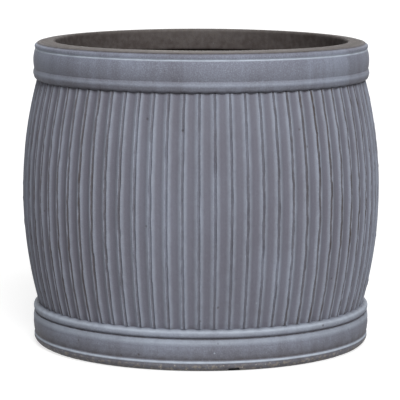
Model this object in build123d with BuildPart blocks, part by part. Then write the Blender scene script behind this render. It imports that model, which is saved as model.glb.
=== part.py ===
from build123d import *
import os
from math import asin, cos, degrees, hypot, radians, sin, sqrt

# Glass-reinforced resin flower pot: a barrel with a fluted belly between a moulded collar and a plinth.
# Every ring is turned about +Z. The origin is the middle of the circle that the foot stands on.

# Driving sizes in millimetres
height = 327.0
belly_radius = 193.0
belly_height = 164.5
barrel_arc_radius = 475.0
collar_height = 42.0
plinth_height = 46.0
foot_height = 12.5
facing_thickness = 5.0
laminate_thickness = 2.5

# Flutes: broad dished ribs parted by narrow grooves
flute_count = 72
first_groove_angle = -90.6
groove_width = 2.4
groove_depth = 2.2
dish_width = 10.8
dish_depth = 1.6

# Collar, from the bead at its foot up to the land
bead_height = 11.6
bead_crown_height = 7.3
bead_proud = 3.4
bead_tuck = 1.4
bead_under_crown = 1.9
bead_upper_crown = 0.3
collar_groove_proud = 2.3
band_top_proud = 1.3
band_crown = 1.3
roll_height = 9.8
roll_notch_depth = 0.9
roll_notch_height = 0.8
roll_proud = 0.6
roll_crown = 2.3
roll_lean = 2.2
shoulder_groove_width = 0.9
shoulder_groove_depth = 0.7

# Turned-in lip
lip_reach = 14.7
lip_depth = 24.0
lip_top_edge_radius = 4.0
lip_under_edge_radius = 3.0
land_fall = 1.7
land_inner_fall = 0.85
land_crown = 0.2

# Plinth, from the bead at its head down to the foot
plinth_bead_height = 10.9
plinth_bead_crown_drop = 7.6
plinth_bead_proud = 3.4
plinth_bead_upper_crown = 1.4
plinth_bead_under_crown = 0.3
plinth_groove_height = 1.8
plinth_groove_depth = 2.2
plinth_band_proud = 3.4
plinth_band_crown = 1.1
plinth_tuck = 0.6

# Foot
foot_ledge_drop = 2.0
foot_proud = 3.5
foot_edge_drop = 6.5
foot_edge_set_in = 5.8
foot_edge_crown = 1.2
foot_width = 16.5
drain_notch_count = 3
drain_notch_width = 12.0
drain_notch_height = 3.5
first_notch_angle = -78.8

# Floor
floor_thickness = 7.5
floor_fillet_leg = 15.0
floor_fillet_hollow = 0.8
drain_hole_radius = 13.0

# Drain plug
plug_clearance = 0.3
plug_lead_in = 1.2
plug_tip_set_back = 0.6
plug_flange_radius = 20.0
plug_flange_thickness = 3.5
plug_flange_edge_radius = 1.4
plug_grip_radius = 7.5
plug_grip_waist_radius = 5.0
plug_grip_height = 15.0
plug_grip_edge_radius = 2.0

collar_bottom = height - collar_height
lip_bottom = height - lip_depth
floor_bottom = foot_height
floor_top = floor_bottom + floor_thickness
arc_centre_radius = belly_radius - barrel_arc_radius


def barrel_radius(z, inset=0.0):
    """Radius of the barrel at height z, on the surface that lies inset under the rib crests."""
    return arc_centre_radius + sqrt((barrel_arc_radius - inset) ** 2 - (z - belly_height) ** 2)


def barrel_points(low, high, inset=0.0):
    """Three points of the barrel's meridian between two heights."""
    return [(barrel_radius(z, inset), z) for z in (low, (low + high) / 2, high)]


def bulge(start, end, rise):
    """Three points of an arc that stands rise proud of its chord, on the right hand from start to end."""
    run = hypot(end[0] - start[0], end[1] - start[1])
    across = ((end[1] - start[1]) / run, (start[0] - end[0]) / run)
    middle = [(a + b) / 2 + rise * side for a, b, side in zip(start, end, across)]
    return [start, tuple(middle), end]


laminate_radius = barrel_radius(collar_bottom, facing_thickness)
bore_radius = barrel_radius(collar_bottom, facing_thickness + laminate_thickness)
wall_top_radius = barrel_radius(collar_bottom)
wall_base_radius = barrel_radius(plinth_height)

# Cutters for one groove and one dish, turned about the centre of the barrel's arc, past both ends of the wall
cutter_margin = 3.0
cutter_overrun = 12.0
cutter_reach = max(collar_bottom - belly_height, belly_height - plinth_height) + cutter_overrun
cutter_half_arc = degrees(asin(cutter_reach / (barrel_arc_radius - groove_depth)))
cutter_plane = Plane(
    origin=(arc_centre_radius, 0, belly_height),
    x_dir=(cos(radians(cutter_half_arc)), 0, sin(radians(cutter_half_arc))),
    z_dir=(-sin(radians(cutter_half_arc)), 0, cos(radians(cutter_half_arc))),
)
cutter_axis = Axis((arc_centre_radius, 0, belly_height), (0, 1, 0))
flute_pitch = 360 / flute_count

with BuildPart() as groove_cutter:
    spread = groove_width / 2 * (1 + cutter_margin / groove_depth)
    with BuildSketch(cutter_plane):
        with BuildLine():
            Polyline(
                (barrel_arc_radius - groove_depth, 0),
                (barrel_arc_radius + cutter_margin, spread),
                (barrel_arc_radius + cutter_margin, -spread),
                close=True,
            )
        make_face()
    revolve(axis=cutter_axis, revolution_arc=2 * cutter_half_arc)

with BuildPart() as dish_cutter:
    dish_radius = ((dish_width / 2) ** 2 + dish_depth**2) / (2 * dish_depth)
    with BuildSketch(cutter_plane):
        with Locations((barrel_arc_radius - dish_depth + dish_radius, 0)):
            Circle(dish_radius)
    revolve(axis=cutter_axis, revolution_arc=2 * cutter_half_arc)

# Facing of the belly, fluted on the outside
with BuildPart() as fluted_wall:
    with BuildSketch(Plane.XZ):
        with BuildLine():
            wall_face = barrel_points(plinth_height, collar_bottom)
            wall_back = barrel_points(plinth_height, collar_bottom, facing_thickness)
            ThreePointArc(*wall_face)
            Line(wall_face[-1], wall_back[-1])
            ThreePointArc(*wall_back)
            Line(wall_back[0], wall_face[0])
        make_face()
    revolve(axis=Axis.Z)
    with PolarLocations(0, flute_count, first_groove_angle):
        add(groove_cutter.part, mode=Mode.SUBTRACT, clean=False)
    with PolarLocations(0, flute_count, first_groove_angle + flute_pitch / 2):
        add(dish_cutter.part, mode=Mode.SUBTRACT, clean=False)
fluted_wall.part.label = "fluted_wall"

# Moulded top band: a bead, a broad band and a rolled edge, with the outer part of the land
band_foot = collar_bottom + bead_height
roll_foot = height - roll_height
shoulder_height = height - land_fall
with BuildPart() as collar:
    bead_foot_point = (wall_top_radius - bead_tuck, collar_bottom)
    bead_crown_point = (wall_top_radius + bead_proud, collar_bottom + bead_crown_height)
    band_foot_point = (wall_top_radius + collar_groove_proud, band_foot)
    band_top_point = (wall_top_radius + band_top_proud, roll_foot - roll_notch_height)
    notch_point = (band_top_point[0] - roll_notch_depth, roll_foot)
    roll_foot_point = (wall_top_radius + roll_proud, roll_foot)
    shoulder_point = (roll_foot_point[0] - roll_lean, shoulder_height)
    land_point = (shoulder_point[0] - shoulder_groove_width, shoulder_height)
    shoulder_groove_radius = (shoulder_point[0] + land_point[0]) / 2
    shoulder_groove_point = (shoulder_groove_radius, shoulder_height - shoulder_groove_depth)
    land_inner_point = (laminate_radius, height - land_inner_fall)
    with BuildSketch(Plane.XZ):
        with BuildLine():
            ThreePointArc(*bulge(bead_foot_point, bead_crown_point, bead_under_crown))
            ThreePointArc(*bulge(bead_crown_point, band_foot_point, bead_upper_crown))
            ThreePointArc(*bulge(band_foot_point, band_top_point, band_crown))
            Line(band_top_point, notch_point)
            Line(notch_point, roll_foot_point)
            ThreePointArc(*bulge(roll_foot_point, shoulder_point, roll_crown))
            Polyline(
                shoulder_point,
                shoulder_groove_point,
                land_point,
                land_inner_point,
                (laminate_radius, collar_bottom),
                bead_foot_point,
            )
        make_face()
    revolve(axis=Axis.Z)
collar.part.label = "collar"

# Thick lip turned in over the top of the laminate
lip_radius = laminate_radius - lip_reach
with BuildPart() as rim_lip:
    with BuildSketch(Plane.XZ):
        with BuildLine():
            crest_point = (lip_radius + lip_top_edge_radius, height)
            ThreePointArc(*bulge(land_inner_point, crest_point, land_crown))
            RadiusArc(crest_point, (lip_radius, height - lip_top_edge_radius), -lip_top_edge_radius)
            Line((lip_radius, height - lip_top_edge_radius), (lip_radius, lip_bottom + lip_under_edge_radius))
            RadiusArc(
                (lip_radius, lip_bottom + lip_under_edge_radius),
                (lip_radius + lip_under_edge_radius, lip_bottom),
                -lip_under_edge_radius,
            )
            Polyline(
                (lip_radius + lip_under_edge_radius, lip_bottom),
                (laminate_radius, lip_bottom),
                land_inner_point,
            )
        make_face()
    revolve(axis=Axis.Z)
rim_lip.part.label = "rim_lip"

# Moulded bottom band: a bead, a narrow groove and a broad band, resting on the foot
with BuildPart() as plinth_band:
    plinth_back = barrel_points(floor_bottom, plinth_height, facing_thickness)
    plinth_bead_bottom = plinth_height - plinth_bead_height
    plinth_head_point = (wall_base_radius, plinth_height)
    plinth_crown_point = (wall_base_radius + plinth_bead_proud, plinth_height - plinth_bead_crown_drop)
    plinth_bead_foot_point = (plinth_crown_point[0] - plinth_tuck, plinth_bead_bottom)
    groove_middle = plinth_bead_bottom - plinth_groove_height / 2
    groove_point = (plinth_crown_point[0] - plinth_groove_depth, groove_middle)
    plinth_band_top_point = (wall_base_radius + plinth_band_proud, plinth_bead_bottom - plinth_groove_height)
    plinth_foot_point = (plinth_band_top_point[0] - plinth_tuck, floor_bottom)
    with BuildSketch(Plane.XZ):
        with BuildLine():
            ThreePointArc(*bulge(plinth_head_point, plinth_crown_point, -plinth_bead_upper_crown))
            ThreePointArc(*bulge(plinth_crown_point, plinth_bead_foot_point, -plinth_bead_under_crown))
            Polyline(plinth_bead_foot_point, groove_point, plinth_band_top_point)
            ThreePointArc(*bulge(plinth_band_top_point, plinth_foot_point, -plinth_band_crown))
            Line(plinth_foot_point, plinth_back[0])
            ThreePointArc(*plinth_back)
            Line(plinth_back[-1], plinth_head_point)
        make_face()
    revolve(axis=Axis.Z)
plinth_band.part.label = "plinth_band"

# Foot ring with shallow drain notches cut across its lower face
with BuildPart() as foot_ring:
    foot_radius = wall_base_radius + foot_proud
    foot_inner_radius = foot_radius - foot_width
    with BuildSketch(Plane.XZ):
        with BuildLine():
            ledge_point = (foot_radius, foot_height - foot_ledge_drop)
            edge_point = (foot_radius, foot_edge_drop)
            sole_point = (foot_radius - foot_edge_set_in, 0)
            Polyline(
                (foot_inner_radius, 0),
                (foot_inner_radius, foot_height),
                plinth_foot_point,
                ledge_point,
                edge_point,
            )
            ThreePointArc(*bulge(edge_point, sole_point, -foot_edge_crown))
            Line(sole_point, (foot_inner_radius, 0))
        make_face()
    revolve(axis=Axis.Z)
    with PolarLocations(foot_radius - foot_width / 2, drain_notch_count, first_notch_angle):
        Box(2 * foot_width, drain_notch_width, 2 * drain_notch_height, mode=Mode.SUBTRACT)
foot_ring.part.label = "foot_ring"

# Base of the pot, raised off the ground by the foot
with BuildPart() as floor_disc:
    floor_edge = barrel_points(floor_bottom, floor_top, facing_thickness)
    with BuildSketch(Plane.XZ):
        with BuildLine():
            Line((drain_hole_radius, floor_bottom), floor_edge[0])
            ThreePointArc(*floor_edge)
            Polyline(floor_edge[-1], (drain_hole_radius, floor_top), (drain_hole_radius, floor_bottom))
        make_face()
    revolve(axis=Axis.Z)
floor_disc.part.label = "floor_disc"

# Glass mat laid up behind the facing, from the base to the underside of the lip
with BuildPart() as wall_laminate:
    laminate_back = barrel_points(floor_top, collar_bottom, facing_thickness)
    laminate_face = barrel_points(floor_top, collar_bottom, facing_thickness + laminate_thickness)
    with BuildSketch(Plane.XZ):
        with BuildLine():
            ThreePointArc(*laminate_back)
            Polyline(
                laminate_back[-1],
                (laminate_radius, lip_bottom),
                (bore_radius, lip_bottom),
                laminate_face[-1],
            )
            ThreePointArc(*laminate_face)
            Line(laminate_face[0], laminate_back[0])
        make_face()
    revolve(axis=Axis.Z)
wall_laminate.part.label = "wall_laminate"

# Resin fillet that ties the laminate to the base
with BuildPart() as floor_fillet:
    fillet_top = floor_top + floor_fillet_leg
    fillet_back = barrel_points(floor_top, fillet_top, facing_thickness + laminate_thickness)
    toe_point = (fillet_back[0][0] - floor_fillet_leg, floor_top)
    with BuildSketch(Plane.XZ):
        with BuildLine():
            ThreePointArc(*fillet_back)
            ThreePointArc(*bulge(fillet_back[-1], toe_point, -floor_fillet_hollow))
            Line(toe_point, fillet_back[0])
        make_face()
    revolve(axis=Axis.Z)
floor_fillet.part.label = "floor_fillet"

# Rubber plug, pushed down into the drain hole and pulled up by its grip
shank_radius = drain_hole_radius - plug_clearance
flange_top = floor_top + plug_flange_thickness
grip_top = flange_top + plug_grip_height
shank_bottom = floor_bottom + plug_tip_set_back
with BuildPart() as drain_plug:
    with BuildSketch(Plane.XZ):
        with BuildLine():
            Polyline(
                (0, shank_bottom),
                (shank_radius - plug_lead_in, shank_bottom),
                (shank_radius, shank_bottom + plug_lead_in),
                (shank_radius, floor_top),
                (plug_flange_radius, floor_top),
                (plug_flange_radius, flange_top - plug_flange_edge_radius),
            )
            RadiusArc(
                (plug_flange_radius, flange_top - plug_flange_edge_radius),
                (plug_flange_radius - plug_flange_edge_radius, flange_top),
                -plug_flange_edge_radius,
            )
            Line((plug_flange_radius - plug_flange_edge_radius, flange_top), (plug_grip_radius, flange_top))
            ThreePointArc(
                (plug_grip_radius, flange_top),
                (plug_grip_waist_radius, flange_top + plug_grip_height / 2),
                (plug_grip_radius, grip_top - plug_grip_edge_radius),
            )
            RadiusArc(
                (plug_grip_radius, grip_top - plug_grip_edge_radius),
                (plug_grip_radius - plug_grip_edge_radius, grip_top),
                -plug_grip_edge_radius,
            )
            Polyline((plug_grip_radius - plug_grip_edge_radius, grip_top), (0, grip_top), (0, shank_bottom))
        make_face()
    revolve(axis=Axis.Z)
drain_plug.part.label = "drain_plug"

os.makedirs("parts", exist_ok=True)
pieces = (
    fluted_wall,
    collar,
    rim_lip,
    plinth_band,
    foot_ring,
    floor_disc,
    wall_laminate,
    floor_fillet,
    drain_plug,
)
for piece in pieces:
    export_step(piece.part, f"parts/{piece.part.label}.step")
    print(piece.part.label, piece.part.is_valid, round(piece.part.volume / 1000, 1), "cm3")
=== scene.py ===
from math import cos, exp, hypot, pi, radians, sin, sqrt, tau

import bmesh
import bpy
from mathutils import Euler, Matrix, Vector, noise


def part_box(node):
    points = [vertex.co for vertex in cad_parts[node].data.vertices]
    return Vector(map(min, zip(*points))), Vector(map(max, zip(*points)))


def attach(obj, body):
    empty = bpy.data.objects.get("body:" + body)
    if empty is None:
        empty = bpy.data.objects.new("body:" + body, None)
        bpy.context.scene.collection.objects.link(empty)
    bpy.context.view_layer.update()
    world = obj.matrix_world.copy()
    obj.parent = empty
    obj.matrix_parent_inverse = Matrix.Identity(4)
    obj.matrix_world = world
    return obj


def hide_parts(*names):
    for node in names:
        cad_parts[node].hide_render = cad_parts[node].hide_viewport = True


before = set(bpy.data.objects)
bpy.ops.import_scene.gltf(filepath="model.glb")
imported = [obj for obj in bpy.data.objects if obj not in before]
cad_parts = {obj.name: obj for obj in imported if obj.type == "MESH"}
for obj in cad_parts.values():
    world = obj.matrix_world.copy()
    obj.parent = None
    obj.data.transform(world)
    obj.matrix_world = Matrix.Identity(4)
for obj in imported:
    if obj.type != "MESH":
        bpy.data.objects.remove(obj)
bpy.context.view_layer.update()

bl_info = {
    "name": "Fluted flower pot",
    "version": (1, 0, 0),
    "blender": (4, 5, 0),
    "location": "3D View > Sidebar > Pot",
    "description": "Dresses a barrel-shaped pot of glass-reinforced resin and sets its studio",
    "category": "Object",
}

MM = 0.001

# Levels of the pot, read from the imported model
PLINTH_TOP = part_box("plinth_band")[1][2]
FLOOR_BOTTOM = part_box("floor_disc")[0][2]
FLOOR_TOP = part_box("floor_disc")[1][2]
COLLAR_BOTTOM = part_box("collar")[0][2]
LIP_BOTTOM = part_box("rim_lip")[0][2]
RIM_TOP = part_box("rim_lip")[1][2]
FILLET_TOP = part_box("floor_fillet")[1][2]
PLUG_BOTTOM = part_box("drain_plug")[0][2]
PLUG_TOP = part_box("drain_plug")[1][2]

# Numbers painted on every moulding, in the order that a section point holds them: wear with painted
# highlight, grime with painted shade, and the land
MARKS = ("wear_and_highlight", "grime_and_shade", "land")

# Facets round a turned ring
BAND_FACETS = 576
FOOT_FACETS = 1152
INSIDE_FACETS = 288
PLUG_FACETS = 96

SHARP_ANGLE = radians(38)
DOUBLES_GAP = 0.001 * MM
RIB_SEAM_GAP = 0.02 * MM

# Studio, in metres
FLOOR_HALF = 9
FLOOR_DROP = 0.2 * MM
LIFT_STARTS = 0.172
LIFT_FULL = 0.174
FRONT_LIGHT_PLACE = (0.52, -2.4, 1.9)
BACK_LIGHT_PLACE = (0.0, 2.4, 1.3)
SENSOR_WIDTH = 36.0


def linear(hex_value):
    """Linear RGBA of an sRGB hex value."""
    shares = [int(hex_value[i : i + 2], 16) / 255 for i in (0, 2, 4)]
    return tuple(s / 12.92 if s <= 0.04045 else ((s + 0.055) / 1.055) ** 2.4 for s in shares) + (1.0,)


def length(name, description, millimetres):
    """A size property, held in metres and given here in millimetres."""
    return bpy.props.FloatProperty(
        name=name, description=description, default=millimetres * MM, unit="LENGTH", precision=5
    )


def bearing_of(name, description, degrees):
    """An angle property, given here in degrees."""
    return bpy.props.FloatProperty(
        name=name, description=description, default=radians(degrees), subtype="ANGLE", unit="ROTATION"
    )


def amount(name, description, default, **bounds):
    """A plain number property."""
    return bpy.props.FloatProperty(name=name, description=description, default=default, **bounds)


def tally(name, description, default, least):
    """A whole number property with a lower bound."""
    return bpy.props.IntProperty(name=name, description=description, default=default, min=least)


def colour(name, description, hex_value):
    """A colour property, given as an sRGB hex value and held as linear light."""
    return bpy.props.FloatVectorProperty(
        name=name, description=description, default=linear(hex_value), subtype="COLOR", size=4, min=0, max=1
    )


class PotSizes(bpy.types.PropertyGroup):
    """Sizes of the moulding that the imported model's boxes don't give."""

    belly_radius: length("Belly radius", "Radius over the rib crests at the belly", 193.0)
    belly_height: length("Belly height", "Height of the widest ring", 164.5)
    arc_radius: length("Barrel arc", "Radius of the barrel's upright arc", 475.0)
    facing: length("Facing", "Thickness of the moulded facing", 5.0)
    laminate: length("Laminate", "Thickness of the glass mat behind the facing", 2.5)
    flutes: tally("Flutes", "Ribs round the belly", 72, 8)
    first_groove: bearing_of("First groove", "Bearing of the groove nearest the front", -90.6)
    groove_width: length("Groove width", "Width of the groove between two ribs", 2.6)
    groove_depth: length("Groove depth", "Depth of the groove", 2.0)
    dish_width: length("Dish width", "Width of the hollow down the middle of a rib", 13.4)
    dish_depth: length("Dish depth", "Depth of that hollow", 2.3)
    wander: length("Wander", "How far a groove wanders sideways", 0.4)
    pocket: length("Pocket", "How far a bead draws back where a groove meets it", 0.6)
    bead_drop: length("Bead drop", "How far the ribs run down over the plinth bead's head", 2.4)
    lip_reach: length("Lip reach", "How far the lip stands in over the wall", 14.7)
    sway: length("Sway", "Unevenness of the hand-laid rings", 0.35)
    rim_warp: length("Rim warp", "How much lower the rim lies at its sides than at front and back", 0.8)
    foot_width: length("Foot width", "Width of the foot ring", 16.5)
    chip: length("Chips", "Depth of the chips along the foot's lower edge", 1.4)
    notches: tally("Notches", "Drain notches under the foot", 3, 0)
    first_notch: bearing_of("First notch", "Bearing of the notch nearest the front", -78.8)
    notch_width: length("Notch width", "Width of a drain notch", 12.0)
    notch_height: length("Notch height", "Height of a drain notch", 3.5)
    drain_radius: length("Drain radius", "Radius of the hole in the floor", 13.0)
    fillet_leg: length("Fillet leg", "How far the fillet runs in over the floor", 15.0)
    fillet_hollow: length("Fillet hollow", "How far the fillet is hollowed below its chord", 0.8)


class PotFinish(bpy.types.PropertyGroup):
    """Colours of the finishes."""

    resin: colour("Resin", "Face of the stone-filled resin", "8A90A0")
    # Also painted as shade over the belly's left side
    resin_shade: colour("Resin shade", "Darker clouds in the resin", "615F69")
    # Also paints highlights along ledges and bead tops
    resin_wear_and_highlight: colour("Worn resin", "Edges rubbed pale", "B2BBC7")
    # Also darkens creases, grooves and undersides as painted shade
    grime_and_shade: colour("Grime", "Dirt held in the grooves", "453E3C")
    land: colour("Land", "Trimmed top of the rim", "77726F")
    land_worn: colour("Worn land", "Inner edge of the rim, rubbed down to its filler", "A29B92")
    raw_edge: colour("Raw edge", "Filler that shows where the foot is chipped", "C4BBB0")
    laminate: colour("Laminate", "Cured resin over glass mat", "524C4B")
    strands: colour("Strands", "Glass strands that show through", "777271")
    rubber: colour("Rubber", "Drain plug", "1D1D1E")


class PotStudio(bpy.types.PropertyGroup):
    """Light and camera of the studio."""

    key: amount("Key", "Strength of the broad light in front", 3.2, min=0)
    spread: bearing_of("Spread", "How wide the light in front looks from the pot", 30.0)
    back: amount("Back", "Strength of the light behind", 1.2, min=0)
    air: amount("Air", "Strength of the light from all round", 0.09, min=0)
    lift: amount("Floor lift", "White added to the seen floor", 0.72, min=0)
    distance: length("Distance", "Camera's distance in front of the pot", 2572.0)
    eye: length("Eye height", "Camera's height over the floor", 516.0)
    aside: length("Aside", "Camera's place to the side", -0.44)
    pitch: bearing_of("Pitch", "How far the camera looks down", 8.065)
    roll: bearing_of("Roll", "How far the camera is rolled", 0.136)
    lens: amount("Lens", "Focal length in millimetres", 215.24, min=1)
    shift: amount("Shift", "Half a pixel, as a share of the width", 0.00125)


def sizes():
    """The scene's pot sizes."""
    return bpy.context.scene.pot_sizes


def finishes():
    """The scene's pot colours."""
    return bpy.context.scene.pot_finish


def barrel(z, inset=0.0):
    """Radius of the barrel at height z, inset under its rib crests."""
    s = sizes()
    return s.belly_radius - s.arc_radius + sqrt((s.arc_radius - inset) ** 2 - (z - s.belly_height) ** 2)


def laminate_radius():
    """Radius of the upright face behind the collar, where the laminate stands."""
    return barrel(COLLAR_BOTTOM, sizes().facing)


# Nodes


def put(tree, kind, inputs=None, **settings):
    """Adds a node with its settings, fills or links its inputs, and gives its first live output, if any."""
    made = tree.nodes.new(kind)
    for key, value in settings.items():
        setattr(made, key, value)
    for key, value in (inputs or {}).items():
        if isinstance(value, bpy.types.NodeSocket):
            tree.links.new(value, made.inputs[key])
        else:
            made.inputs[key].default_value = value
    return next((socket for socket in made.outputs if socket.enabled), made)


def calc(tree, operation, *values):
    """Result of one maths node."""
    return put(tree, "ShaderNodeMath", dict(enumerate(values)), operation=operation)


def vector(tree, operation, *values, scale=None):
    """Result of one vector maths node."""
    inputs = dict(enumerate(values))
    if scale is not None:
        inputs["Scale"] = scale
    return put(tree, "ShaderNodeVectorMath", inputs, operation=operation)


def band(tree, value, start, end, low=0.0, high=1.0):
    """Value mapped from start and end to low and high, and held there."""
    return put(
        tree, "ShaderNodeMapRange",
        {"Value": value, "From Min": start, "From Max": end, "To Min": low, "To Max": high},
    )


def blend(tree, share, first, second):
    """Colour that goes from first to second by a share."""
    return put(tree, "ShaderNodeMix", {0: share, 6: first, 7: second}, data_type="RGBA")


def pot_place(tree):
    """Place of the shaded point in the pot."""
    return tree.nodes.new("ShaderNodeTexCoord").outputs["Object"]


def grain(tree, cells, detail=3.0, stretch=(1, 1, 1), turn=(0, 0, 0), shift=0.0):
    """Noise over the place in the pot, 0 to 1, at so many cells a metre."""
    mapped = put(
        tree, "ShaderNodeMapping",
        {"Vector": pot_place(tree), "Location": (shift, shift, shift), "Rotation": turn, "Scale": stretch},
    )
    return put(tree, "ShaderNodeTexNoise", {"Vector": mapped, "Scale": cells, "Detail": detail})


def spots(tree, cells, radius, share, shift=0.0):
    """Sparse round spots: cells a metre, radius as a share of a cell, and share of the cells with one."""
    mapped = put(tree, "ShaderNodeMapping", {"Vector": pot_place(tree), "Location": (shift, shift, shift)})
    cell = tree.nodes.new("ShaderNodeTexVoronoi")
    cell.inputs["Scale"].default_value = cells
    tree.links.new(mapped, cell.inputs["Vector"])
    chance = put(tree, "ShaderNodeSeparateColor", {0: cell.outputs["Color"]})
    chosen = band(tree, chance, 1 - share, 1.001 - share)
    return calc(tree, "MULTIPLY", band(tree, cell.outputs["Distance"], radius, radius * 0.4), chosen)


def mark(tree, name):
    """A number painted on the mesh, for a material."""
    made = tree.nodes.new("ShaderNodeAttribute")
    made.attribute_name = name
    return made.outputs["Fac"]


def scaled(tree, value, factor):
    """Value times a factor."""
    return calc(tree, "MULTIPLY", value, factor)


def new_material(name):
    """A material that holds a principled surface and its output, with the surface node."""
    made = bpy.data.materials.new(name)
    made.use_nodes = True
    tree = made.node_tree
    tree.nodes.clear()
    surface = tree.nodes.new("ShaderNodeBsdfPrincipled")
    put(tree, "ShaderNodeOutputMaterial", {"Surface": surface.outputs[0]})
    return made, tree, surface


def dress(tree, surface, colour_in, roughness, height, depth, gloss=0.35):
    """Links colour, roughness and relief to the surface."""
    normal = put(tree, "ShaderNodeBump", {"Height": height, "Distance": depth, "Strength": 0.6})
    for key, value in (("Base Color", colour_in), ("Roughness", roughness), ("Normal", normal)):
        tree.links.new(value, surface.inputs[key])
    surface.inputs["Specular IOR Level"].default_value = gloss


def stone_resin(name, fluted=False, foot=False, gloss=0.3):
    """Matt stone-filled resin: clouded grey, pale on its edges from wear and painted highlights, darkened in
    its grooves by dirt and painted shade, pits and pale dots.
    """
    if name in bpy.data.materials:
        return bpy.data.materials[name]
    made, tree, surface = new_material(name)
    f = finishes()
    # Slow clouds, upright runs and stone grain keep the grey from looking painted
    clouds = band(tree, grain(tree, 13, 5), 0.36, 0.68, 0, 0.5)
    runs = band(tree, grain(tree, 70, 3, stretch=(1, 1, 0.07)), 0.45, 0.72, 0, 0.42)
    stone = grain(tree, 850, 2)
    patches = band(tree, grain(tree, 150, 4, shift=3.1), 0.36, 0.62)
    tone = blend(tree, clouds, f.resin, f.resin_shade)
    tone = blend(tree, runs, tone, f.resin_shade)
    tone = blend(tree, band(tree, stone, 0.5, 0.8, 0, 0.4), tone, f.resin_wear_and_highlight)
    tone = blend(tree, band(tree, stone, 0.5, 0.25, 0, 0.4), tone, f.resin_shade)
    wear_and_highlight, grime_and_shade, land = (mark(tree, key) for key in MARKS)
    # The trimmed land and the chipped foot show the warmer filler
    filler, filler_worn = (f.raw_edge, f.raw_edge) if foot else (f.land, f.land_worn)
    land = calc(tree, "MULTIPLY", land, band(tree, grain(tree, 260, 4), 0.5, 0.62, 0.1 if foot else 0.9, 1))
    tone = blend(tree, land, tone, filler)
    pale_wear_and_highlight = blend(tree, land, f.resin_wear_and_highlight, filler_worn)
    if fluted:
        # Rib edges are rubbed pale, the dish stays dull, the groove holds dirt, and both rib ends get painted
        # shade where they meet the collar and the bead
        shake = band(tree, grain(tree, 110, 3), 0.3, 0.7, -0.3 * MM, 0.3 * MM)
        gap = calc(tree, "ADD", mark(tree, "groove_gap"), shake)
        dish = band(tree, mark(tree, "dish_gap"), 6.2 * MM, 3.2 * MM, 0.16, 0.74)
        tone = blend(tree, dish, tone, f.resin_shade)
        edge = calc(
            tree, "MULTIPLY",
            band(tree, gap, 0.9 * MM, 2.1 * MM),
            band(tree, gap, 6.0 * MM, 3.0 * MM),
        )
        wear_and_highlight = calc(tree, "MAXIMUM", wear_and_highlight, scaled(tree, edge, 0.24))
        split = tree.nodes.new("ShaderNodeSeparateXYZ")
        tree.links.new(pot_place(tree), split.inputs[0])
        up = split.outputs["Z"]
        # Dirt comes and goes along a groove; the groove line is also painted darker away from the front, as
        # painted shade in grooves turned away from the light
        held = band(tree, grain(tree, 9, 3, shift=5.2), 0.38, 0.62, 0.75, 1.1)
        painted_side_shade = band(tree, split.outputs["Y"], -0.14, -0.185, 1, 0.42)
        dirt_and_side_shade = calc(tree, "MULTIPLY", held, painted_side_shade)
        line = calc(tree, "MULTIPLY", band(tree, gap, 1.5 * MM, 1.1 * MM), dirt_and_side_shade)
        # Painted shade: the left side, away from the light, is darkened in the colour
        painted_left_shade = band(tree, split.outputs["X"], -0.07, -0.17, 0, 0.36)
        tone = blend(tree, painted_left_shade, tone, f.resin_shade)
        # Painted shade at both rib ends, under the collar and above the bead
        rib_end_shade = calc(
            tree, "MAXIMUM",
            band(tree, up, PLINTH_TOP + 4 * MM, PLINTH_TOP - 3 * MM, 0, 0.5),
            band(tree, up, COLLAR_BOTTOM - 2.5 * MM, COLLAR_BOTTOM, 0, 0.6),
        )
        grime_and_shade = calc(tree, "MAXIMUM", calc(tree, "MAXIMUM", grime_and_shade, line), scaled(tree, rib_end_shade, patches))
    # Wear and painted highlights pale the colour; dirt and painted shade darken it
    rubbed = calc(tree, "MULTIPLY", wear_and_highlight, band(tree, grain(tree, 90, 4, shift=1.7), 0.3, 0.6, 0.6, 1))
    tone = blend(tree, rubbed, tone, pale_wear_and_highlight)
    tone = blend(tree, scaled(tree, grime_and_shade, band(tree, patches, 0, 1, 0.7, 0.92)), tone, f.grime_and_shade)
    pits = spots(tree, 110, 0.2, 0.05)
    dots = spots(tree, 70, 0.08, 0.02, 0.4)
    tone = blend(tree, scaled(tree, pits, 0.6), tone, f.grime_and_shade)
    tone = blend(tree, scaled(tree, dots, 0.7), tone, f.resin_wear_and_highlight)
    if foot:
        # Bare filler shows as specks along the trimmed edge
        specks = calc(tree, "MULTIPLY", mark(tree, "land"), spots(tree, 420, 0.45, 0.12, 0.9))
        tone = blend(tree, scaled(tree, specks, 0.85), tone, f.raw_edge)
    relief = calc(tree, "SUBTRACT", calc(tree, "MULTIPLY_ADD", patches, 0.5, stone), scaled(tree, pits, 2.0))
    dress(tree, surface, tone, band(tree, stone, 0.3, 0.7, 0.6, 0.82), relief, 0.35 * MM, gloss)
    return made


def glass_mat():
    """Cured resin over chopped glass mat: dark and faintly glossy, with pale strands lying every way."""
    name = "Resin over glass mat"
    if name in bpy.data.materials:
        return bpy.data.materials[name]
    made, tree, surface = new_material(name)
    f = finishes()
    strands = None
    for turn in ((0.3, 0.9, 0.2), (1.4, 0.2, 0.8), (0.7, 2.1, 1.9), (2.3, 1.2, 0.4)):
        lay = band(tree, grain(tree, 260, 1, stretch=(1, 1, 0.06), turn=turn, shift=turn[0]), 0.60, 0.70)
        strands = lay if strands is None else calc(tree, "MAXIMUM", strands, lay)
    clouds = band(tree, grain(tree, 18, 4), 0.35, 0.7)
    tone = blend(tree, scaled(tree, strands, 0.45), f.laminate, f.strands)
    tone = blend(tree, scaled(tree, clouds, 0.35), tone, f.grime_and_shade)
    dress(tree, surface, tone, band(tree, clouds, 0, 1, 0.42, 0.6), strands, 0.5 * MM, 0.5)
    return made


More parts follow.
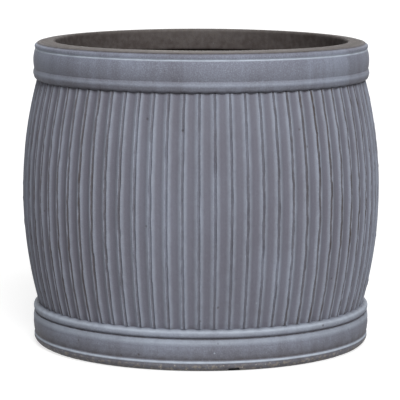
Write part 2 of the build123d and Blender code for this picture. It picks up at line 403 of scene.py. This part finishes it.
def plug_rubber():
    """Moulded black rubber: dull sheen with a fine grain."""
    made, tree, surface = new_material("Black rubber")
    f = finishes()
    fine = grain(tree, 900, 2)
    tone = blend(tree, band(tree, grain(tree, 60, 3), 0.4, 0.7, 0, 0.25), f.rubber, f.grime_and_shade)
    dress(tree, surface, tone, band(tree, fine, 0.3, 0.7, 0.45, 0.62), fine, 0.1 * MM, 0.4)
    return made


# Meshes


def moulding(radius, height, rows):
    """Section points from rows of out, up, rise, steps, wear with painted highlight, grime with painted
    shade, and land.

    Out and up are millimetres from a radius and a height. Each row runs to the next in so many steps, by an
    arc that stands rise millimetres proud of its chord, on its right hand.
    """
    points = []
    for row, following in zip(rows, rows[1:]):
        run = (following[0] - row[0], following[1] - row[1])
        chord = hypot(*run)
        side = (run[1] / chord, -run[0] / chord)
        for i in range(row[3]):
            t = i / row[3]
            lift = 4 * row[2] * t * (1 - t)
            out, up = (row[n] + run[n] * t + lift * side[n] for n in (0, 1))
            marks = [row[n] + (following[n] - row[n]) * t for n in (4, 5, 6)]
            points.append((radius + out * MM, height + up * MM, *marks))
    out, up, _, _, *marks = rows[-1]
    points.append((radius + out * MM, height + up * MM, *marks))
    return points


def barrel_run(low, high, inset, steps, marks=(0.0, 0.0, 0.0)):
    """Section points up the barrel between two heights, inset under its crests."""
    heights = [low + (high - low) * i / steps for i in range(steps + 1)]
    return [(barrel(z, inset), z, *marks) for z in heights]


def closed_piece(name, vertices, faces, marks):
    """A finished object of these faces, with its marks painted on."""
    mesh = bpy.data.meshes.new(name)
    mesh.from_pydata(vertices, [], faces)
    for key, values in marks.items():
        mesh.attributes.new(key, "FLOAT", "POINT").data.foreach_set("value", values)
    piece = bpy.data.objects.new(name, mesh)
    bpy.context.scene.collection.objects.link(piece)
    return finish_mesh(piece)


def finish_mesh(piece):
    """The piece with doubles merged, faces outward, and smooth shading but for its sharp edges."""
    edit = bmesh.new()
    edit.from_mesh(piece.data)
    bmesh.ops.remove_doubles(edit, verts=edit.verts, dist=DOUBLES_GAP)
    bmesh.ops.recalc_face_normals(edit, faces=edit.faces)
    edit.to_mesh(piece.data)
    edit.free()
    piece.data.shade_smooth()
    piece.data.set_sharp_from_angle(angle=SHARP_ANGLE)
    return piece


def unevenness(x, y, z):
    """Slow and quick waves of a hand-laid ring, from about 0 to 1."""
    slow = noise.noise(Vector((x * 9, y * 9, z * 25)))
    quick = noise.noise(Vector((x * 45, y * 45, z * 60 + 7)))
    return min(1.0, abs(slow + 0.5 * quick))


def turned(name, points, around=BAND_FACETS, shape=None, sway=1.0, rub=None, land_shade=None):
    """A ring turned about the upright axis from a closed section.

    Shape moves a point at a bearing. Rub gives the share of the wear and painted highlight mark that is left
    at a bearing, and the last argument gives the painted shade added on the land there.
    """
    s = sizes()
    vertices, faces, count = [], [], len(points)
    for i in range(around):
        bearing = s.first_groove + tau * i / around
        for r, z, *_ in points:
            drift = s.sway * sway * unevenness(r * cos(bearing), r * sin(bearing), z)
            if shape:
                r, z = shape(r, z, bearing)
            share = max(0.0, z - COLLAR_BOTTOM) / (RIM_TOP - COLLAR_BOTTOM)
            z -= s.rim_warp * share * (1 + cos(2 * bearing)) / 2
            r = max(0.0, r - drift)
            vertices.append((r * cos(bearing), r * sin(bearing), z))
    for i in range(around):
        here, there = i * count, (i + 1) % around * count
        for j in range(count):
            k = (j + 1) % count
            faces.append((here + j, there + j, there + k, here + k))
    marks = {key: [point[n] for _ in range(around) for point in points] for n, key in enumerate(MARKS, 2)}
    bearings = [s.first_groove + tau * i / around for i in range(around)]
    if rub:
        shares = [rub(bearing) for bearing in bearings]
        marks["wear_and_highlight"] = [point[2] * share for share in shares for point in points]
    if land_shade:
        shares = [land_shade(bearing) for bearing in bearings]
        marks["grime_and_shade"] = [min(1.0, point[3] + point[4] * share) for share in shares for point in points]
    return closed_piece(name, vertices, faces, marks)


def land_painted_shade(bearing):
    """Painted shade on the rim's land and inner face: least at the front, more at the back, most at the
    sides.
    """
    ahead = (bearing + pi / 2 + pi) % tau - pi
    return 0.5 - 0.4 * exp(-((ahead / 0.7) ** 2)) + 0.5 * cos(bearing) ** 2


def groove_pull(bearing):
    """How near a bearing is to a groove: 1 on it, 0 on a rib's middle."""
    s = sizes()
    return (0.5 + 0.5 * cos(s.flutes * (bearing - s.first_groove))) ** 3


def hand_over(piece, node, material=None, body="pot"):
    """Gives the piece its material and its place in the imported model."""
    if material:
        piece.data.materials.clear()
        piece.data.materials.append(material)
    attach(piece, body)
    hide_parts(node)


# Ribbed belly

RIB_COLUMNS = 18
RIB_ROWS = 60
BACK_ROWS = 6


def rib_strip():
    """One rib from groove to groove, before its relief: closed in its section and open at its sides."""
    s = sizes()
    half = pi / s.flutes
    low = PLINTH_TOP - s.bead_drop
    face = [(z, r, 1.0) for r, z, *_ in barrel_run(low, COLLAR_BOTTOM, 0.0, RIB_ROWS)]
    back = [(z, r, 0.0) for r, z, *_ in barrel_run(COLLAR_BOTTOM, low, s.facing, BACK_ROWS)]
    loop = face + back
    vertices, faces, groove_gap, dish_gap, skin = [], [], [], [], []
    for k in range(RIB_COLUMNS + 1):
        # Columns crowd towards the grooves, where the relief is steepest
        across = sin((2 * k / RIB_COLUMNS - 1) * pi / 2)
        across = (across + sin(across * pi / 2)) / 2
        for z, r, outer in loop:
            vertices.append((r * cos(across * half), r * sin(across * half), z))
            groove_gap.append(r * half * (1 - abs(across)))
            dish_gap.append(r * half * abs(across))
            skin.append(outer)
    for k in range(RIB_COLUMNS):
        here, there = k * len(loop), (k + 1) * len(loop)
        for j in range(len(loop)):
            n = (j + 1) % len(loop)
            faces.append((here + j, there + j, there + n, here + n))
    mesh = bpy.data.meshes.new("rib_strip")
    mesh.from_pydata(vertices, [], faces)
    for key, values in (("groove_gap", groove_gap), ("dish_gap", dish_gap), ("skin", skin)):
        mesh.attributes.new(key, "FLOAT", "POINT").data.foreach_set("value", values)
    strip = bpy.data.objects.new("rib_strip", mesh)
    bpy.context.scene.collection.objects.link(strip)
    return strip


def painted(tree, name):
    """A number painted on the mesh, inside a geometry group."""
    return put(tree, "GeometryNodeInputNamedAttribute", {"Name": name}, data_type="FLOAT")


def waves(tree, cells, seed, low, high):
    """Seeded noise over the place, mapped to low and high."""
    place = put(tree, "GeometryNodeInputPosition")
    raw = put(tree, "ShaderNodeTexNoise", {"Vector": place, "W": seed, "Scale": cells}, noise_dimensions="4D")
    return band(tree, raw, 0.3, 0.7, low, high)


def rib_relief():
    """Group that repeats a rib strip round the pot, then sinks its grooves and dishes by a rule."""
    tree = bpy.data.node_groups.new("Rib relief", "GeometryNodeTree")
    sockets = {}
    wanted = ["Geometry", "Ribs", "First groove", "Groove width", "Groove depth", "Dish width", "Dish depth"]
    kinds = {"Geometry": "Geometry", "Ribs": "Int", "Material": "Material"}
    for name in wanted + ["Wander", "Seed", "Material"]:
        kind = "NodeSocket" + kinds.get(name, "Float")
        sockets[name] = tree.interface.new_socket(name, in_out="INPUT", socket_type=kind).identifier
    tree.interface.new_socket("Geometry", in_out="OUTPUT", socket_type="NodeSocketGeometry")
    given = tree.nodes.new("NodeGroupInput").outputs
    # Repeat the strip round the axis and close its sides
    points = put(tree, "GeometryNodePoints", {"Count": given["Ribs"]})
    pitch = calc(tree, "DIVIDE", tau, given["Ribs"])
    place = calc(tree, "ADD", put(tree, "GeometryNodeInputIndex"), 0.5)
    turn = calc(tree, "MULTIPLY_ADD", place, pitch, given["First groove"])
    rotation = put(tree, "FunctionNodeEulerToRotation", {0: put(tree, "ShaderNodeCombineXYZ", {"Z": turn})})
    copies = put(
        tree, "GeometryNodeInstanceOnPoints",
        {"Points": points, "Instance": given["Geometry"], "Rotation": rotation},
    )
    ring = put(tree, "GeometryNodeRealizeInstances", {"Geometry": copies})
    ring = put(tree, "GeometryNodeMergeByDistance", {"Geometry": ring, "Distance": RIB_SEAM_GAP})
    # Depth of the groove and of the dish at each point
    half_width = calc(tree, "MULTIPLY", given["Groove width"], waves(tree, 55, given["Seed"], 0.44, 0.56))
    groove = calc(tree, "SUBTRACT", 1.0, calc(tree, "DIVIDE", painted(tree, "groove_gap"), half_width))
    groove = calc(tree, "POWER", calc(tree, "MAXIMUM", groove, 0.0), 0.35)
    uneven = waves(tree, 40, calc(tree, "ADD", given["Seed"], 5.0), 0.7, 1.15)
    groove = calc(tree, "MULTIPLY", groove, calc(tree, "MULTIPLY", given["Groove depth"], uneven))
    share = calc(tree, "DIVIDE", painted(tree, "dish_gap"), calc(tree, "MULTIPLY", given["Dish width"], 0.5))
    dish = calc(tree, "MAXIMUM", calc(tree, "SUBTRACT", 1.0, calc(tree, "MULTIPLY", share, share)), 0.0)
    dish = calc(tree, "MULTIPLY", dish, given["Dish depth"])
    ripple = waves(tree, 28, calc(tree, "ADD", given["Seed"], 9.0), 0.0, 0.3 * MM)
    depth = calc(tree, "ADD", calc(tree, "ADD", groove, dish), ripple)
    depth = calc(tree, "MULTIPLY", depth, painted(tree, "skin"))
    # Sink each point towards the axis, and let the grooves wander sideways
    flat = vector(tree, "MULTIPLY", put(tree, "GeometryNodeInputPosition"), (1, 1, 0))
    outward = vector(tree, "NORMALIZE", flat)
    sideways = vector(tree, "CROSS_PRODUCT", (0, 0, 1), outward)
    bends = waves(tree, 24, calc(tree, "ADD", given["Seed"], 2.0), -0.5, 0.5)
    drift = calc(tree, "MULTIPLY", given["Wander"], bends)
    move = vector(
        tree, "ADD",
        vector(tree, "SCALE", outward, scale=calc(tree, "MULTIPLY", depth, -1.0)),
        vector(tree, "SCALE", sideways, scale=drift),
    )
    carved = put(tree, "GeometryNodeSetPosition", {"Geometry": ring, "Offset": move})
    dressed = put(tree, "GeometryNodeSetMaterial", {"Geometry": carved, "Material": given["Material"]})
    put(tree, "NodeGroupOutput", {0: dressed})
    return tree, sockets


class POT_OT_ribbed_belly(bpy.types.Operator):
    """Builds the fluted belly: a rib repeated round the pot, with its dish and its grooves"""

    bl_idname = "pot.ribbed_belly"
    bl_label = "Ribbed belly"
    bl_options = {"REGISTER", "UNDO"}

    def execute(self, context):
        s = sizes()
        strip = rib_strip()
        tree, sockets = rib_relief()
        relief = strip.modifiers.new("Rib relief", "NODES")
        relief.node_group = tree
        given = {
            "Ribs": s.flutes, "First groove": s.first_groove, "Groove width": s.groove_width,
            "Groove depth": s.groove_depth, "Dish width": s.dish_width, "Dish depth": s.dish_depth,
            "Wander": s.wander, "Seed": 4.0, "Material": stone_resin("Fluted stone resin", fluted=True),
        }
        for name, value in given.items():
            relief[sockets[name]] = value
        graph = bpy.context.evaluated_depsgraph_get()
        mesh = bpy.data.meshes.new_from_object(
            strip.evaluated_get(graph), preserve_all_data_layers=True, depsgraph=graph
        )
        bpy.data.objects.remove(strip)
        mesh.name = "ribbed_belly"
        piece = bpy.data.objects.new("ribbed_belly", mesh)
        context.scene.collection.objects.link(piece)
        if len(mesh.polygons) < s.flutes * RIB_COLUMNS * RIB_ROWS:
            raise RuntimeError("the ribs were not repeated round the belly")
        hand_over(finish_mesh(piece), "fluted_wall")
        return {"FINISHED"}


class POT_OT_collar(bpy.types.Operator):
    """Builds the moulded collar: bead, broad band, rolled edge and the outer part of the land"""

    bl_idname = "pot.collar"
    bl_label = "Collar"
    bl_options = {"REGISTER", "UNDO"}

    def execute(self, context):
        s = sizes()
        wall = barrel(COLLAR_BOTTOM)
        inner = (laminate_radius() - wall) / MM
        # In this table the grime column paints shade on the collar's underside, under its bead, in the crease
        # over the bead and in the shoulder groove, and the wear column paints a highlight along the ledge at
        # the roll's foot and on the bead's crown
        points = moulding(wall, COLLAR_BOTTOM, [
            (inner, 0, 0, 1, 0, 0.8, 0),
            (-1.4, 0, 1.2, 7, 0, 0.75, 0),
            (2.9, 5.0, 0.35, 4, 0, 0.4, 0),
            (3.3, 8.7, 0.3, 4, 0.22, 0, 0),
            (2.2, 12.0, 1.3, 16, 0, 0.35, 0),
            (1.6, 32.0, 0.05, 2, 0, 0, 0),
            (1.1, 33.2, 0, 1, 1, 0, 0),
            (0.8, 33.7, 0.1, 3, 1, 0, 0),
            (1.5, 35.2, 1.0, 8, 0, 0, 0),
            (-0.3, 38.9, 0.05, 2, 0, 0.1, 0),
            (-1.1, 39.8, 0, 1, 0, 1, 0),
            (-1.6, 40.2, 0, 1, 0, 1, 0.2),
            (-2.05, 39.8, 0, 1, 0, 1, 0.4),
            (-2.5, 40.4, 0, 1, 0, 1, 0.6),
            (-4.2, 40.6, 0, 3, 0, 0.2, 1),
            (inner, 41.15, 0, 1, 0, 0, 1),
        ])

        def shape(r, z, bearing):
            """Draws the bead's foot up where a groove runs into it."""
            near = max(0.0, 1 - (z - COLLAR_BOTTOM) / (4 * MM))
            return r, z + s.pocket * near * groove_pull(bearing)

        piece = turned("moulded_collar", points, shape=shape, land_shade=land_painted_shade)
        hand_over(piece, "collar", stone_resin("Moulded stone resin"))
        return {"FINISHED"}


class POT_OT_lip(bpy.types.Operator):
    """Builds the thick lip that is turned in over the wall, with its rubbed inner edge"""

    bl_idname = "pot.lip"
    bl_label = "Turned-in lip"
    bl_options = {"REGISTER", "UNDO"}

    def execute(self, context):
        reach, drop = sizes().lip_reach / MM, (LIP_BOTTOM - RIM_TOP) / MM
        # In this table the grime column paints shade down the inner face, darker deeper into the pot
        points = moulding(laminate_radius() - sizes().lip_reach, RIM_TOP, [
            (reach, drop, 0, 1, 0, 0, 1),
            (reach, -0.85, 0.1, 6, 0, 0, 1),
            (8.5, -0.3, 0.1, 4, 0.1, 0, 1),
            (4.5, -0.02, 0.02, 2, 0.9, 0, 1),
            (2.2, 0, 0.2, 3, 1, 0, 1),
            (0.6, -1.1, 0.2, 3, 0.6, 0.1, 1),
            (0, -3.5, 0, 10, 0, 0.25, 1),
            (0, drop + 3, 0.88, 6, 0, 0.55, 1),
            (3, drop, 0, 2, 0, 0.6, 1),
        ])

        def rub(bearing):
            """The inner edge is rubbed most on a stretch left of the front."""
            off = (bearing + pi / 2 + 0.17 + pi) % tau - pi
            return 0.15 + 0.85 * exp(-((off / 0.2) ** 4))

        piece = turned("turned_in_lip", points, rub=rub, land_shade=land_painted_shade)
        hand_over(piece, "rim_lip", stone_resin("Rubbed rim resin", gloss=0.1))
        return {"FINISHED"}


class POT_OT_plinth(bpy.types.Operator):
    """Builds the moulded plinth: bead, dark groove and broad band"""

    bl_idname = "pot.plinth"
    bl_label = "Plinth"
    bl_options = {"REGISTER", "UNDO"}

    def execute(self, context):
        s = sizes()
        wall = barrel(PLINTH_TOP)
        # In this table the grime column paints shade at the joint with the foot, down the band's lower half,
        # in the groove and under the bead; the wear column is rubbed wear and painted highlight on the band's
        # top and the bead's upper face
        points = moulding(wall, PLINTH_TOP, [
            (2.8, -33.5, 0.3, 6, 0, 0.85, 0),
            (3.9, -27.5, 0.3, 7, 0, 0.5, 0),
            (3.95, -20.5, 0.2, 5, 0, 0.3, 0),
            (3.8, -15.5, 0.1, 3, 0.5, 0, 0),
            (3.4, -12.9, 0, 1, 0.35, 0.1, 0),
            (1.2, -12.0, 0, 1, 0, 0.9, 0),
            (1.9, -11.2, 0.6, 6, 0, 0.6, 0),
            (3.7, -7.4, 0.3, 4, 0.3, 0, 0),
            (3.4, -4.6, 0.4, 4, 0.8, 0, 0),
            (0, -s.bead_drop / MM, 0, 1, 0.2, 0.3, 0),
        ])
        points += barrel_run(PLINTH_TOP - s.bead_drop, FLOOR_BOTTOM, s.facing, 4)

        def shape(r, z, bearing):
            """Draws the bead's head down where a groove runs into it."""
            near = max(0.0, 1 - (PLINTH_TOP - s.bead_drop - z) / (4 * MM))
            return r, z - s.pocket * near * groove_pull(bearing)

        piece = turned("moulded_plinth", points, shape=shape)
        hand_over(piece, "plinth_band", stone_resin("Moulded stone resin"))
        return {"FINISHED"}


class POT_OT_foot(bpy.types.Operator):
    """Builds the foot: ledge with a painted highlight, trimmed and chipped lower edge, and drain notches"""

    bl_idname = "pot.foot"
    bl_label = "Foot"
    bl_options = {"REGISTER", "UNDO"}

    def execute(self, context):
        s = sizes()
        wall = barrel(PLINTH_TOP)
        inner = 3.5 - s.foot_width / MM
        # In this table the grime column paints shade on the sole, on the face below the ledge and in the
        # crease above it, and the wear column paints the ledge's highlight
        points = moulding(wall, 0.0, [
            (inner, 0, 0, 3, 0, 0.4, 1),
            (-4.2, 0, 1.5, 9, 0, 0.8, 1),
            (3.5, 6.3, 0, 3, 0, 0.7, 0.8),
            (3.5, 8.5, 0, 2, 0, 0.75, 0),
            (3.55, 9.4, 0.1, 3, 1, 0, 0),
            (3.2, 10.7, 0, 2, 0.9, 0, 0),
            (3.0, 11.4, 0, 2, 0, 0.4, 0),
            (2.8, 12.5, 0, 2, 0, 0.9, 0),
            (inner, 12.5, 0, 4, 0, 0.5, 0),
        ])
        notches = [s.first_notch + tau * n / s.notches for n in range(s.notches)]

        def shape(r, z, bearing):
            """Chips the lower edge, and lifts the sole over each drain notch."""
            rough = noise.noise(Vector((cos(bearing) * 34, sin(bearing) * 34, z * 300)))
            sharp = noise.noise(Vector((cos(bearing) * 110, sin(bearing) * 110, z * 500)))
            edge = max(0.0, 1 - z / (5 * MM)) * (r > wall - 6 * MM)
            bite = s.chip * edge * max(0.0, rough + 0.6 * sharp - 0.12)
            r, z = r - bite, z + 0.6 * bite
            for notch in notches:
                if abs(r * sin(bearing - notch)) < s.notch_width / 2 and cos(bearing - notch) > 0:
                    z = max(z, s.notch_height)
            return r, z

        piece = turned("standing_foot", points, around=FOOT_FACETS, shape=shape)
        hand_over(piece, "foot_ring", stone_resin("Trimmed foot resin", foot=True))
        return {"FINISHED"}


class POT_OT_inside(bpy.types.Operator):
    """Builds the laid-up inside: glass-mat lining, floor with its drain hole, and the fillet between them"""

    bl_idname = "pot.inside"
    bl_label = "Laid-up inside"
    bl_options = {"REGISTER", "UNDO"}

    def execute(self, context):
        s = sizes()
        depth = s.facing + s.laminate
        bore = barrel(COLLAR_BOTTOM, depth)
        lining = barrel_run(FLOOR_TOP, COLLAR_BOTTOM, s.facing, 10)
        lining += [(laminate_radius(), LIP_BOTTOM, 0, 0, 0), (bore, LIP_BOTTOM, 0, 0, 0)]
        lining += barrel_run(COLLAR_BOTTOM, FLOOR_TOP, depth, 40)
        piece = turned("glass_mat_lining", lining, around=INSIDE_FACETS, sway=2.0)
        hand_over(piece, "wall_laminate", glass_mat())
        hole, rim = s.drain_radius, barrel(FLOOR_BOTTOM, s.facing)
        steps = [hole + (rim - hole) * n / 12 for n in range(12)]
        base = [(r, FLOOR_BOTTOM, 0, 0, 0) for r in steps] + barrel_run(FLOOR_BOTTOM, FLOOR_TOP, s.facing, 1)
        base += [(r, FLOOR_TOP, 0, 0, 0) for r in reversed(steps)]
        piece = turned("raised_floor", base, around=INSIDE_FACETS, sway=0.0)
        hand_over(piece, "floor_disc", glass_mat())
        wall = barrel_run(FLOOR_TOP, FILLET_TOP, depth, 3)
        toe = barrel(FLOOR_TOP, depth) - s.fillet_leg
        run, rise = (wall[-1][0] - toe) / MM, (FILLET_TOP - FLOOR_TOP) / MM
        cove = moulding(toe, FLOOR_TOP, [
            (run, rise, -s.fillet_hollow / MM, 8, 0, 0, 0),
            (0, 0, 0, 1, 0, 0, 0),
        ])
        piece = turned("corner_fillet", wall + cove[1:], around=INSIDE_FACETS)
        hand_over(piece, "floor_fillet", glass_mat())
        return {"FINISHED"}


class POT_OT_plug(bpy.types.Operator):
    """Builds the rubber drain plug: shank, flange and waisted grip"""

    bl_idname = "pot.plug"
    bl_label = "Drain plug"
    bl_options = {"REGISTER", "UNDO"}

    def execute(self, context):
        shank = sizes().drain_radius / MM - 0.3
        seat = (FLOOR_TOP - PLUG_BOTTOM) / MM
        top = (PLUG_TOP - PLUG_BOTTOM) / MM
        flange, grip = 20, 7.5
        points = moulding(0.0, PLUG_BOTTOM, [
            (0, 0, 0, 2, 0, 0, 0),
            (shank - 1.2, 0, 0, 2, 0, 0, 0),
            (shank, 1.2, 0, 2, 0, 0, 0),
            (shank, seat, 0, 2, 0, 0, 0),
            (flange, seat, 0, 2, 0, 0, 0),
            (flange, seat + 2.1, 0.41, 5, 0, 0, 0),
            (18.6, seat + 3.5, 0, 3, 0, 0, 0),
            (grip, seat + 3.5, -2.5, 12, 0, 0, 0),
            (grip, top - 2, 0.59, 5, 0, 0, 0),
            (5.5, top, 0, 2, 0, 0, 0),
            (0, top, 0, 1, 0, 0, 0),
        ])
        piece = turned("rubber_plug", points, around=PLUG_FACETS, sway=0.0)
        hand_over(piece, "drain_plug", plug_rubber(), "plug")
        return {"FINISHED"}


def seen_ray(tree):
    """1 for rays that show the studio to the camera, straight or in a reflection or through glass."""
    rays = tree.nodes.new("ShaderNodeLightPath").outputs
    mirrored = calc(tree, "MAXIMUM", rays["Is Glossy Ray"], rays["Is Transmission Ray"])
    return calc(tree, "MAXIMUM", rays["Is Camera Ray"], mirrored)


def broad_light(name, place, strength, spread):
    """A far, broad light that shines from its place towards the pot."""
    data = bpy.data.lights.new(name, "SUN")
    data.energy, data.angle = strength, spread
    lamp = bpy.data.objects.new(name, data)
    lamp.location = place
    lamp.rotation_euler = (-Vector(place)).to_track_quat("-Z", "Y").to_euler()
    bpy.context.scene.collection.objects.link(lamp)
    return lamp


class POT_OT_studio(bpy.types.Operator):
    """Sets the pale floor, the white surroundings, two broad lights and the camera"""

    bl_idname = "pot.studio"
    bl_label = "Studio"
    bl_options = {"REGISTER", "UNDO"}

    def execute(self, context):
        scene, studio = context.scene, context.scene.pot_studio
        # White surroundings for the camera, with a plainer strength for the light they give
        world = bpy.data.worlds.new("White surroundings")
        world.use_nodes = True
        air = world.node_tree
        air.nodes.clear()
        strength = band(air, seen_ray(air), 0, 1, studio.air, 1.0)
        sky = put(air, "ShaderNodeBackground", {"Color": (1, 1, 1, 1), "Strength": strength})
        put(air, "ShaderNodeOutputWorld", {"Surface": sky})
        scene.world = world
        # Pale matt floor that stays white but for the pot's shadow
        material, tree, surface = new_material("Pale studio floor")
        surface.inputs["Base Color"].default_value = linear("B6B6B6")
        surface.inputs["Roughness"].default_value = 1.0
        surface.inputs["Specular IOR Level"].default_value = 0.0
        surface.inputs["Emission Color"].default_value = (1, 1, 1, 1)
        reach = vector(tree, "LENGTH", pot_place(tree))
        outside = band(tree, reach, LIFT_STARTS, LIFT_FULL, 0, studio.lift)
        lift = calc(tree, "MULTIPLY", seen_ray(tree), outside)
        tree.links.new(lift, surface.inputs["Emission Strength"])
        mesh = bpy.data.meshes.new("studio_floor")
        turns = ((-1, -1), (1, -1), (1, 1), (-1, 1))
        mesh.from_pydata([(FLOOR_HALF * x, FLOOR_HALF * y, 0) for x, y in turns], [], [(0, 1, 2, 3)])
        mesh.materials.append(material)
        floor = bpy.data.objects.new("studio_floor", mesh)
        floor.location.z = -FLOOR_DROP
        scene.collection.objects.link(floor)
        front = broad_light("front_light", FRONT_LIGHT_PLACE, studio.key, studio.spread)
        behind = broad_light("back_light", BACK_LIGHT_PLACE, studio.back, 2 * studio.spread)
        data = bpy.data.cameras.new("camera")
        data.lens, data.sensor_width = studio.lens, SENSOR_WIDTH
        data.shift_x, data.shift_y = -studio.shift, studio.shift
        data.clip_start, data.clip_end = 0.05, 100.0
        camera = bpy.data.objects.new("camera", data)
        tilt = Euler((pi / 2 - studio.pitch, 0, 0)).to_matrix() @ Matrix.Rotation(studio.roll, 3, "Z")
        camera.location = (studio.aside, -studio.distance, studio.eye)
        camera.rotation_euler = tilt.to_euler()
        scene.collection.objects.link(camera)
        scene.camera = camera
        scene.view_settings.view_transform = "Standard"
        return {"FINISHED"}


OPERATORS = (
    POT_OT_ribbed_belly,
    POT_OT_collar,
    POT_OT_lip,
    POT_OT_plinth,
    POT_OT_foot,
    POT_OT_inside,
    POT_OT_plug,
    POT_OT_studio,
)


class POT_PT_sidebar(bpy.types.Panel):
    """Lists the builders of the pot's pieces and of its studio"""

    bl_idname = "POT_PT_sidebar"
    bl_label = "Flower pot"
    bl_space_type = "VIEW_3D"
    bl_region_type = "UI"
    bl_category = "Pot"

    def draw(self, context):
        for operator in OPERATORS:
            self.layout.operator(operator.bl_idname)


GROUPS = (("pot_sizes", PotSizes), ("pot_finish", PotFinish), ("pot_studio", PotStudio))
CLASSES = tuple(group for _, group in GROUPS) + OPERATORS + (POT_PT_sidebar,)


def register():
    """Registers the classes and hangs the property groups on the scene."""
    for entry in CLASSES:
        bpy.utils.register_class(entry)
    for name, group in GROUPS:
        setattr(bpy.types.Scene, name, bpy.props.PointerProperty(type=group))


def unregister():
    """Takes the property groups and the classes away again."""
    for name, _ in GROUPS:
        delattr(bpy.types.Scene, name)
    for entry in reversed(CLASSES):
        bpy.utils.unregister_class(entry)


def main():
    """Registers the classes, then builds every piece and the studio."""
    register()
    bpy.ops.pot.ribbed_belly()
    bpy.ops.pot.collar()
    bpy.ops.pot.lip()
    bpy.ops.pot.plinth()
    bpy.ops.pot.foot()
    bpy.ops.pot.inside()
    bpy.ops.pot.plug()
    bpy.ops.pot.studio()


if __name__ == "__main__":
    main()
